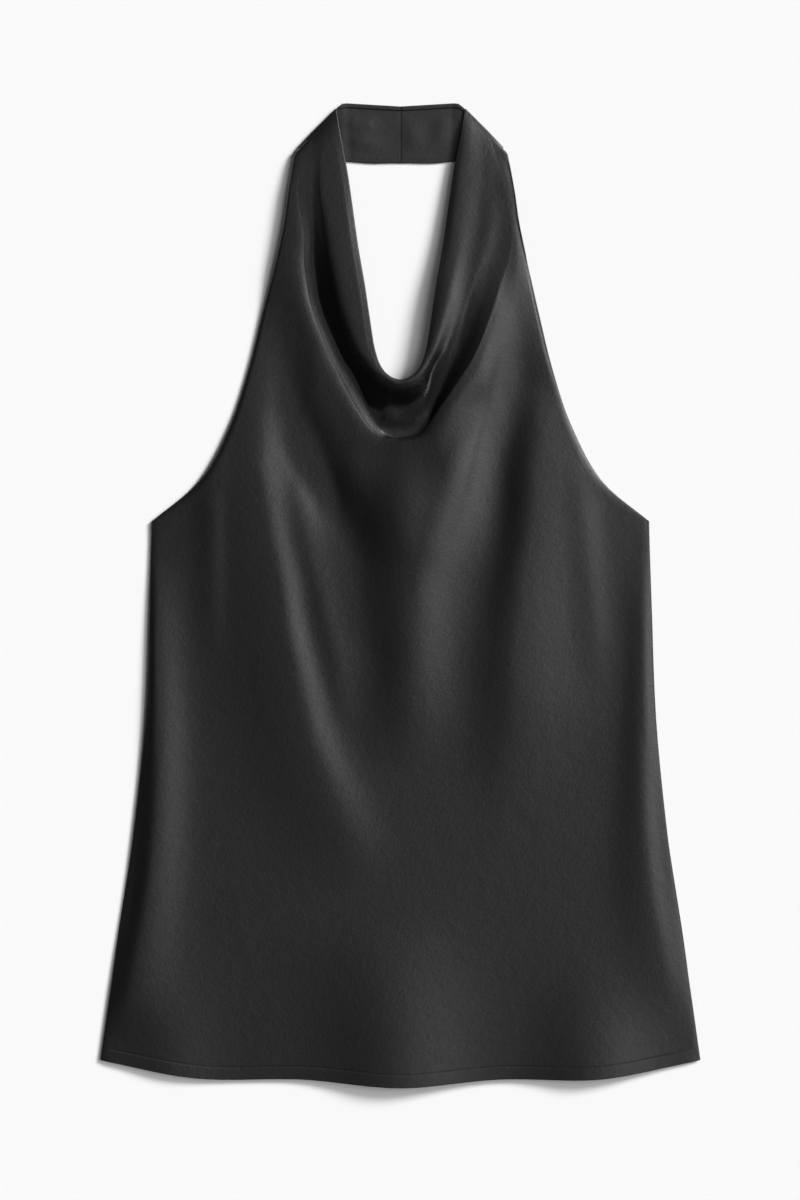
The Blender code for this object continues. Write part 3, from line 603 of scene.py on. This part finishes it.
def front_grid(at):
    """Front panel's surface as an array of columns by rows by XYZ, in millimetres: the cowl's section from
    the neck edge to the second lip, whose height then gives way to the body's on a bell curve, out to the
    edge, where it rounds down on a quarter circle."""
    neck, lip, edge, bend = whole_sections(at)
    rise = rises_at(at)
    reach, to_lip = way(neck, lip)
    beyond, to_edge = way(lip, edge)
    ease = np.minimum(LIP_EASE, LIP_EASE_SHARE * beyond)
    along, up = cowl_profile(reach, ease, rise)
    picks = np.linspace(0, along.shape[1] - 1, COWL_STEPS)
    along, up = through(along.T, picks).T, through(up.T, picks).T

    past = body_rows(beyond, ease)
    distance = np.concatenate([along, reach[:, None] + past], axis=1)
    before_lip = np.minimum(distance, reach[:, None])
    after_lip = np.maximum(distance - reach[:, None], 0)
    plan = neck[:, None] + to_lip[:, None] * before_lip[..., None] + to_edge[:, None] * after_lip[..., None]
    share = after_lip / beyond[:, None]
    aside = np.stack([to_edge[:, 1], -to_edge[:, 0]], axis=1)
    plan += aside[:, None] * (4 * bend[:, None] * share * (1 - share))[..., None]

    cowl, x, y = along.shape[1], plan[..., 0], plan[..., 1]
    near_lip = bell(past - ease[:, None], rise.fall[:, None])
    body = body_height(x[:, cowl:], y[:, cowl:])
    body += (rise.lip[:, None] - body) * near_lip
    height = np.concatenate([up, body], axis=1) + drape(x, y, STRAP_FOLDS)
    roll = np.interp(half_row(at), ROLL_ROWS, ROLL_WIDTHS)[:, None]
    for path in edge_outline():
        inward = nearest_on(x, y, path)[0] / roll
        round_off = np.sqrt(1 - (1 - np.clip(inward, 0, 1)) ** 2)
        height = rise.edge[:, None] + (height - rise.edge[:, None]) * round_off
    height[:, cowl:] += hem_turning(beyond[:, None] - past) * on_hem(at)[:, None]
    return np.concatenate([plan, height[..., None]], axis=2)


def body_rows(beyond, ease):
    """Distances past the lip of each column's rows in the body: a power of even steps, then the rows near
    the edge, drawn closer together where the way is short."""
    border = np.minimum(1.0, EDGE_SHARE * beyond / EDGE_ROWS[0])
    share = np.linspace(0, 1, BODY_STEPS + 1)[1:-1] ** BODY_CROWDING
    steps = ease[:, None] + share * (beyond - ease - border * EDGE_ROWS[0])[:, None]
    return np.concatenate([steps, beyond[:, None] - border[:, None] * np.array(EDGE_ROWS)], axis=1)


def on_hem(at):
    """1 for the columns that end on the hem, 0 for those that end on a side, with an easy step between."""
    return smoothstep((half_row(at) - HEM_ROW) / HEM_START)


def hem_turning(inward):
    """Relief of the hem's turning by the distance from its edge: a low step where the cloth is double, and
    a narrow bell-shaped groove along its stitches."""
    step = 1 - ramp(inward, HEM_TURNING - TURNING_EASE, HEM_TURNING + TURNING_EASE)
    return TURNING_STEP * step - GROOVE * bell(inward - HEM_TURNING, GROOVE_WIDTH)


def edge_outline():
    """The outer edges of both sides, from the shoulder folds to the hem, as polylines in plan."""
    right = whole_sections(np.linspace(0, HEM_ROW, EDGE_POINTS))[2]
    return right, right * (LEFT, 1)


def painted_cowl_shade(grid):
    """Mask of the shade painted into the satin deep in the cowl between its two folds, from 0 to 1: the
    product of easy steps in the distances past the first fold's brow and short of the second fold's lip,
    and of the cowl's depth."""
    at = np.linspace(0, LAST_ROW, SHADE_SECTIONS)
    neck, lip, _, _ = whole_sections(at)
    rise = rises_at(at)
    brow = neck + (lip - neck) * rise.brow[:, None]
    from_brow, place, brow_side = nearest_on(grid[..., 0], grid[..., 1], brow)
    from_lip, _, lip_side = nearest_on(grid[..., 0], grid[..., 1], lip)
    depth = np.interp(place, np.arange(len(at)), ramp(rise.crest - rise.valley, *SHADE_DEPTHS))
    past_brow = ramp(from_brow * np.sign(brow_side), *SHADE_FROM_BROW)
    short_of_lip = ramp(-from_lip * np.sign(lip_side), *SHADE_FROM_LIP)
    return past_brow * short_of_lip * depth


def band_seam(line, side):
    """Points of the seam between a strap and its band half, in under the band's end."""
    from_top = np.linalg.norm(line[:, :2] - line[0, :2], axis=1)
    share = (from_top / from_top[-1])[:, None]
    top, foot = np.array(BAND_SEAM_TOP), np.array(BAND_SEAM_FOOT)
    return (top + (foot - top) * share) * (side, 1)


def shoulder_turn(line, side):
    """Columns that carry the strap over its shoulder fold, a half round, and in under itself to the band,
    whose end covers its seam."""
    run = line[-1, :2] - line[0, :2]
    outward = np.array([-run[1], run[0]]) * side / np.linalg.norm(run)
    angles = np.pi * np.arange(1, FOLD_STEPS + 1)[:, None] / FOLD_STEPS
    turned = np.repeat(line[None], FOLD_STEPS, axis=0)
    turned[..., :2] += outward * (FOLD_RADIUS * np.sin(angles))[..., None]
    turned[..., 2] = FOLD_TOP - FOLD_RADIUS * (1 - np.cos(angles))
    seam = turned[-1].copy()
    seam[:, :2] = band_seam(line, side)
    step = np.linspace(0, 1, UNDER_STEPS + 1)[1:, None, None]
    flat = turned[-1] + (seam - turned[-1]) * step
    flat[..., 2] -= UNDER_BAND * step[..., 0]
    return np.concatenate([turned, flat])


def band_grid(side):
    """Half of the neck band as an array of columns by rows by XYZ, in millimetres, from the centre-back
    seam to its end in under the strap. Its edges run straight but for a bow on the lower one, a squared
    sine, and its top corner falls away on a power curve."""
    x = BAND_END * np.concatenate([[0], np.linspace(BAND_FIRST_STEP, 1, BAND_COLUMNS)])[:, None]
    share = np.linspace(0, 1, BAND_STEPS + 1)
    corner = np.maximum(x - BAND_CORNER, 0) / (BAND_END - BAND_CORNER)
    top = BAND_TOP_Y + (BAND_SEAM_TOP[1] - BAND_TOP_Y) * x / BAND_SEAM_TOP[0]
    top -= BAND_CORNER_FALL * corner**BAND_CORNER_POWER
    foot = BAND_FOOT_Y + (BAND_SEAM_FOOT[1] - BAND_FOOT_Y) * x / BAND_SEAM_FOOT[0]
    foot -= BAND_BOW * np.sin(np.pi * np.clip(x / BAND_SEAM_FOOT[0], 0, 1)) ** 2
    y = top + (foot - top) * share
    from_seam = np.broadcast_to(x, y.shape)
    x = side * from_seam
    seam_x = BAND_SEAM_TOP[0]
    over_strap = BAND_LIFT * ramp(from_seam, seam_x - BAND_LIFT_BEFORE, seam_x + BAND_LIFT_AFTER)
    dip = SEAM_DIPS[side] * bell(from_seam, SEAM_WIDTH)
    z = ON_SURFACE + over_strap - dip + drape(x, y, BAND_CREASES)
    grid = np.stack([x, y, z], axis=-1)
    return grid if side == RIGHT else grid[::-1]


def back_grid():
    """Back panel as an array of columns by rows by XYZ, in millimetres: across, even shares of the front's
    width at that row, and down, even steps from a top edge that dips on a parabola to the hem's line."""
    edge = whole_sections(np.linspace(UNDERARM_ROW, HEM_ROW, BACK_SIDE_POINTS))[2]
    hem = whole_sections(np.linspace(HEM_ROW, LAST_ROW - HEM_ROW, BACK_COLUMNS))[2]
    across = np.linspace(1, -1, BACK_COLUMNS)
    down = np.linspace(0, 1, BACK_ROWS)
    half = np.interp(down, np.linspace(0, 1, BACK_SIDE_POINTS), edge[:, 0]) - BACK_INSET
    top_y = UNDERARM_Y - BACK_INSET - BACK_TOP_DIP * (1 - across**2)
    x = across * half[:, None]
    y = top_y + (hem[:, 1] + BACK_INSET - top_y) * down[:, None]
    z = BACK_HEIGHT + drape(x, y, BACK_CREASES)
    return np.stack([x, y, z], axis=-1).transpose(1, 0, 2)


def grid_normals(grid):
    """Unit normals of a grid: the cross product of its two differences."""
    across, along = np.gradient(grid, axis=0), np.gradient(grid, axis=1)
    normal = np.cross(across, along)
    return normal / np.maximum(np.linalg.norm(normal, axis=2), NEARLY_ZERO)[..., None]


def turn_under(grid, rows):
    """Adds a turned edge at a grid's first row: a half round under the cloth, then a flap that follows the
    first `rows` rows one turn below. The cloth's outer side is where the normals point."""
    normal = grid_normals(grid)
    flap = grid[:, 1 : rows + 1] - 2 * TURN_RADIUS * normal[:, 1 : rows + 1]
    inward = grid[:, 1] - grid[:, 0]
    inward /= np.maximum(np.linalg.norm(inward, axis=1), NEARLY_ZERO)[:, None]
    angle = (np.pi * np.arange(1, TURN_STEPS + 1) / TURN_STEPS)[::-1, None]
    first, up, back = grid[:, :1], normal[:, :1], inward[:, None]
    half_round = first - up * TURN_RADIUS * (1 - np.cos(angle)) - back * TURN_RADIUS * np.sin(angle)
    return np.concatenate([flap[:, ::-1], half_round, grid], axis=1)


def front_whole(grid):
    """The front with both shoulder turns, from seam to seam, and its neck and outer edges turned under."""
    right, left = shoulder_turn(grid[0], RIGHT), shoulder_turn(grid[-1], LEFT)
    grid = turn_under(np.concatenate([right[::-1], grid, left]), NECK_FLAP)
    return turn_under(grid[::-1, ::-1], OUTER_FLAP)


def mesh_from_grid(name, grid, shade=None):
    """Mesh object of quads over an array of columns by rows by XYZ in millimetres, with its mask of painted
    shade, if any, as an attribute."""
    columns, rows = grid.shape[:2]
    index = np.arange(columns * rows).reshape(columns, rows)
    corners = (index[:-1, :-1], index[1:, :-1], index[1:, 1:], index[:-1, 1:])
    piece = mesh_from_quads(name, grid.reshape(-1, 3), np.stack(corners, axis=-1).reshape(-1, 4))
    if shade is not None:
        layer = piece.data.attributes.new("painted_cowl_shade", "FLOAT", "POINT")
        layer.data.foreach_set("value", shade.astype(np.float32).ravel())
    return piece


def mesh_from_quads(name, points, quads):
    """Mesh object of quads, given as rows of point numbers, over points in millimetres."""
    mesh = bpy.data.meshes.new(name)
    mesh.vertices.add(len(points))
    mesh.vertices.foreach_set("co", (points * MM).astype(np.float32).ravel())
    mesh.loops.add(quads.size)
    mesh.loops.foreach_set("vertex_index", quads.astype(np.int32).ravel())
    mesh.polygons.add(len(quads))
    mesh.polygons.foreach_set("loop_start", np.arange(0, quads.size, 4, dtype=np.int32))
    mesh.update(calc_edges=True)
    mesh.validate()
    mesh.shade_smooth()
    piece = bpy.data.objects.new(name, mesh)
    bpy.context.scene.collection.objects.link(piece)
    return piece


def stitch_row(name, path):
    """Row of stitches along a path of XYZ points in millimetres. Each is a bead of thread: rings of points
    about the path, whose size follows a half circle's height from one end of the stitch to the other, with
    two quads to close each end."""
    run = np.concatenate([[0], np.cumsum(np.linalg.norm(np.diff(path, axis=0), axis=1))])
    starts = np.arange(STITCH_GAP, run[-1] - STITCH, STITCH + STITCH_GAP)
    share = np.linspace(0, 1, STITCH_RINGS)
    at = starts[:, None] + STITCH * share
    centre = np.stack([np.interp(at, run, path[:, k]) for k in range(3)], axis=-1)
    along = centre[:, -1] - centre[:, 0]
    side = np.cross(along, (0, 0, 1))
    up = np.cross(side, along)
    side, up = (v / np.linalg.norm(v, axis=1)[:, None] for v in (side, up))
    size = THREAD / 2 * np.sqrt(np.maximum(1 - (2 * share - 1) ** 2, STITCH_TIP))
    angle = 2 * np.pi * np.arange(STITCH_RINGS)[:, None] / STITCH_RINGS
    around = np.cos(angle) * side[:, None, None] + STITCH_FLATNESS * np.sin(angle) * up[:, None, None]
    points = centre[:, :, None] + size[:, None, None] * around

    count = STITCH_RINGS**2
    ring = np.arange(count).reshape(STITCH_RINGS, STITCH_RINGS)
    after = np.roll(ring, -1, axis=1)
    walls = np.stack([ring[:-1], after[:-1], after[1:], ring[1:]], axis=-1).reshape(-1, 4)
    first, last = ring[0], ring[-1]
    caps = np.stack([first[[3, 2, 1, 0]], first[[5, 4, 3, 0]], last[[0, 1, 2, 3]], last[[0, 3, 4, 5]]])
    quads = np.concatenate([walls, caps])[None] + count * np.arange(len(starts))[:, None, None]
    return mesh_from_quads(name, points.reshape(-1, 3), quads.reshape(-1, 4))


def solidify(piece, thickness):
    """Gives a sheet its wall, half on either side, by a modifier. The thickness is in metres."""
    wall = piece.modifiers.new("cloth", "SOLIDIFY")
    wall.thickness = thickness
    wall.offset = 0.0
    return piece


def new_socket(group, name, out=False, default=None):
    """Adds a number's input or output to a node group."""
    in_out = "OUTPUT" if out else "INPUT"
    socket = group.interface.new_socket(name, in_out=in_out, socket_type="NodeSocketFloat")
    if default is not None:
        socket.default_value = default


def satin_grain_group():
    """Node group: the satin's relief as one height, and a soft cloudiness as a mask.

    The height is a weighted sum of three noises in the object's own place: fine floats drawn out along the
    bias, a slub of a few millimetres and a slow mottle. The cloud is slower still.
    """
    found = bpy.data.node_groups.get("satin_grain")
    if found:
        return found
    group = bpy.data.node_groups.new("satin_grain", "ShaderNodeTree")
    new_socket(group, "Relief", default=1.0)
    new_socket(group, "Height", out=True)
    new_socket(group, "Cloud", out=True)
    nodes, links = group.nodes, group.links
    given = nodes.new("NodeGroupInput")
    result = nodes.new("NodeGroupOutput")
    place = nodes.new("ShaderNodeTexCoord")
    turn = nodes.new("ShaderNodeMapping")
    turn.inputs["Rotation"].default_value = (0, 0, np.radians(BIAS_ANGLE))
    links.new(place.outputs["Object"], turn.inputs["Vector"])
    total = None
    for noise in SATIN_NOISES:
        grain = nodes.new("ShaderNodeTexNoise")
        grain.inputs["Scale"].default_value = noise.scale
        grain.inputs["Detail"].default_value = noise.detail
        stretch = nodes.new("ShaderNodeMapping")
        stretch.inputs["Scale"].default_value = (1, noise.stretch, 1)
        weight = nodes.new("ShaderNodeMath")
        weight.operation = "MULTIPLY_ADD"
        weight.inputs[1].default_value = noise.weight
        weight.inputs[2].default_value = 0.0
        links.new(turn.outputs["Vector"], stretch.inputs["Vector"])
        links.new(stretch.outputs["Vector"], grain.inputs["Vector"])
        links.new(grain.outputs["Fac"], weight.inputs[0])
        if total:
            links.new(total.outputs[0], weight.inputs[2])
        total = weight
    relief = nodes.new("ShaderNodeMath")
    relief.operation = "MULTIPLY"
    links.new(total.outputs[0], relief.inputs[0])
    links.new(given.outputs["Relief"], relief.inputs[1])
    cloud = nodes.new("ShaderNodeTexNoise")
    cloud.inputs["Scale"].default_value = CLOUD_SCALE
    cloud.inputs["Detail"].default_value = CLOUD_DETAIL
    links.new(place.outputs["Object"], cloud.inputs["Vector"])
    links.new(relief.outputs[0], result.inputs["Height"])
    links.new(cloud.outputs["Fac"], result.inputs["Cloud"])
    return group


def shaded(colour, by):
    """A colour made lighter or darker, opaque."""
    return [channel * by for channel in colour[:3]] + [1]


def satin_material(name, colour, roughness, relief):
    """Satin: dark dyed base, blurred highlights broken by fine floats, and deep in the cowl smoother, with
    shade painted into its colour there."""
    found = bpy.data.materials.get(name)
    if found:
        return found
    material = bpy.data.materials.new(name)
    material.use_nodes = True
    nodes, links = material.node_tree.nodes, material.node_tree.links
    shader = nodes["Principled BSDF"]
    shader.inputs["Specular IOR Level"].default_value = 0.5
    grain = nodes.new("ShaderNodeGroup")
    grain.node_tree = satin_grain_group()
    grain.inputs["Relief"].default_value = relief
    tint = nodes.new("ShaderNodeMix")
    tint.data_type = "RGBA"
    tint.inputs[6].default_value = shaded(colour, 1 - CLOUD_TINT)
    tint.inputs[7].default_value = shaded(colour, 1 + CLOUD_TINT)
    links.new(grain.outputs["Cloud"], tint.inputs["Factor"])
    # Painted shade: the cowl's mask darkens the base colour deep in the cowl, and also makes it smoother
    shade = nodes.new("ShaderNodeAttribute")
    shade.attribute_name = "painted_cowl_shade"
    deep = nodes.new("ShaderNodeMix")
    deep.data_type = "RGBA"
    deep.inputs[7].default_value = shaded(colour, COWL_PAINTED_SHADE)
    links.new(shade.outputs["Fac"], deep.inputs["Factor"])
    links.new(tint.outputs[2], deep.inputs[6])
    links.new(deep.outputs[2], shader.inputs["Base Color"])
    rough = nodes.new("ShaderNodeMapRange")
    rough.inputs["To Min"].default_value = roughness - CLOUD_ROUGHNESS
    rough.inputs["To Max"].default_value = roughness + CLOUD_ROUGHNESS
    smooth = nodes.new("ShaderNodeMath")
    smooth.operation = "MULTIPLY_ADD"
    smooth.inputs[1].default_value = -COWL_SMOOTHER
    links.new(grain.outputs["Cloud"], rough.inputs["Value"])
    links.new(shade.outputs["Fac"], smooth.inputs[0])
    links.new(rough.outputs["Result"], smooth.inputs[2])
    links.new(smooth.outputs[0], shader.inputs["Roughness"])
    bump = nodes.new("ShaderNodeBump")
    bump.inputs["Strength"].default_value = 1.0
    bump.inputs["Distance"].default_value = GRAIN_DEPTH
    links.new(grain.outputs["Height"], bump.inputs["Height"])
    links.new(bump.outputs["Normal"], shader.inputs["Normal"])
    return material


def satin_face(settings):
    """The satin's shiny side, on the front and the back."""
    colour, roughness = settings.satin_colour, settings.face_roughness
    return satin_material("satin face", colour, roughness, settings.grain_relief)


def satin_inside(settings):
    """The satin's duller side, on the neck band."""
    colour, roughness = settings.inside_colour, settings.inside_roughness
    return satin_material("satin inside", colour, roughness, settings.grain_relief)


def dress(piece, material, slot, *nodes):
    """Gives a piece its material, hangs it under the frame's root and hides the nodes of the frame it
    stands for; the slot is not used.
    """
    piece.data.materials.append(material)
    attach(piece, "root")
    if nodes:
        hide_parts(*nodes)


class TOP_OT_front(Operator):
    """Add the bias-cut front with its cowl and halter straps"""

    bl_idname = "halter_top.front"
    bl_label = "Front panel"

    def execute(self, context):
        settings = context.scene.halter_top
        satin = satin_face(settings)
        at = column_rows()
        grid = front_grid(at)
        whole = front_whole(grid)
        # The front carries the mask of the shade painted deep in its cowl
        piece = mesh_from_grid("satin_front", whole, painted_cowl_shade(whole))
        solidify(piece, settings.cloth_thickness)
        dress(piece, satin, "satin_face", "front_panel")
        hem = half_row(at) > HEM_ROW + HEM_STITCH_START
        groove = grid[hem, EDGE_ROWS.index(HEM_TURNING) - len(EDGE_ROWS)]
        dress(stitch_row("hem_stitches", groove + (0, 0, STITCH_RISE)), satin, "satin_face")
        return {"FINISHED"}


class TOP_OT_bands(Operator):
    """Add the two halves of the back neck band"""

    bl_idname = "halter_top.bands"
    bl_label = "Neck band"

    def execute(self, context):
        settings = context.scene.halter_top
        satin = satin_inside(settings)
        for side, where in ((RIGHT, "right"), (LEFT, "left")):
            grid = band_grid(side)
            turned = turn_under(turn_under(grid, BAND_FLAP)[:, ::-1], BAND_FLAP)
            piece = solidify(mesh_from_grid(f"band_{where}", turned), settings.cloth_thickness)
            dress(piece, satin, "satin_inside", f"neck_band_{where}")
            foot = grid[:, BAND_STEPS - BAND_STITCH_ROW] + (0, 0, STITCH_RISE)
            dress(stitch_row(f"band_stitches_{where}", foot), satin, "satin_inside")
        return {"FINISHED"}


class TOP_OT_back(Operator):
    """Add the plain back panel with its low creases"""

    bl_idname = "halter_top.back"
    bl_label = "Back panel"

    def execute(self, context):
        settings = context.scene.halter_top
        piece = solidify(mesh_from_grid("satin_back", back_grid()), settings.cloth_thickness)
        dress(piece, satin_face(settings), "satin_face", "back_panel")
        return {"FINISHED"}


class TOP_OT_stage(Operator):
    """Add the pale floor, the studio light and the camera"""

    bl_idname = "halter_top.stage"
    bl_label = "Stage"

    def execute(self, context):
        scene = context.scene
        add_floor(scene)
        world = bpy.data.worlds.new("studio")
        scene.world = world
        world.use_nodes = True
        background = world.node_tree.nodes["Background"]
        background.inputs["Color"].default_value = WORLD_COLOUR
        background.inputs["Strength"].default_value = WORLD_STRENGTH
        for lamp in STUDIO_LIGHTS:
            add_light(scene, lamp)
        add_camera(scene)
        scene.view_settings.view_transform = "Standard"
        return {"FINISHED"}


def add_floor(scene):
    """Pale, matt floor: one large square."""
    half = FLOOR_HALF
    corners = [(-half, -half, 0), (half, -half, 0), (half, half, 0), (-half, half, 0)]
    mesh = bpy.data.meshes.new("floor")
    mesh.from_pydata(corners, [], [(0, 1, 2, 3)])
    floor = bpy.data.objects.new("floor", mesh)
    floor.location.z = -FLOOR_DROP
    scene.collection.objects.link(floor)
    paint = bpy.data.materials.new("floor")
    paint.use_nodes = True
    shader = paint.node_tree.nodes["Principled BSDF"]
    shader.inputs["Base Color"].default_value = FLOOR_COLOUR
    shader.inputs["Roughness"].default_value = FLOOR_ROUGHNESS
    shader.inputs["Specular IOR Level"].default_value = 0.0
    floor.data.materials.append(paint)


def add_light(scene, lamp):
    """Distant lamp whose spread gives its soft shadow."""
    source = bpy.data.lights.new(lamp.name, "SUN")
    source.energy = lamp.strength
    source.angle = np.radians(lamp.spread)
    rise, turn = np.radians(lamp.elevation), np.radians(lamp.azimuth)
    towards = Vector((np.cos(rise) * np.cos(turn), np.cos(rise) * np.sin(turn), np.sin(rise)))
    light = bpy.data.objects.new(lamp.name, source)
    light.rotation_euler = towards.to_track_quat("Z", "Y").to_euler()
    scene.collection.objects.link(light)


def add_camera(scene):
    """Camera straight above, with a lens that frames the field."""
    lens = bpy.data.cameras.new("camera")
    lens.lens = lens.sensor_width * CAMERA_HEIGHT / FIELD_LONG
    camera = bpy.data.objects.new("camera", lens)
    camera.location = (*CAMERA_AT, CAMERA_HEIGHT)
    scene.collection.objects.link(camera)
    scene.camera = camera


class TOP_PT_panel(Panel):
    """Lists the pieces of the top"""

    bl_idname = "TOP_PT_panel"
    bl_label = "Halter neck top"
    bl_space_type = "VIEW_3D"
    bl_region_type = "UI"
    bl_category = "Halter top"

    def draw(self, context):
        for piece in OPERATORS:
            self.layout.operator(piece.bl_idname)


OPERATORS = (TOP_OT_front, TOP_OT_bands, TOP_OT_back, TOP_OT_stage)
CLASSES = (TopSettings, *OPERATORS, TOP_PT_panel)


def register():
    """Adds the settings, the operators and the panel to Blender."""
    for item in CLASSES:
        bpy.utils.register_class(item)
    bpy.types.Scene.halter_top = PointerProperty(type=TopSettings)


def unregister():
    """Takes them away again, last first."""
    del bpy.types.Scene.halter_top
    for item in reversed(CLASSES):
        bpy.utils.unregister_class(item)


def main():
    """Builds the top and its stage."""
    register()
    bpy.ops.halter_top.front()
    bpy.ops.halter_top.bands()
    bpy.ops.halter_top.back()
    bpy.ops.halter_top.stage()


if __name__ == "__main__":
    main()
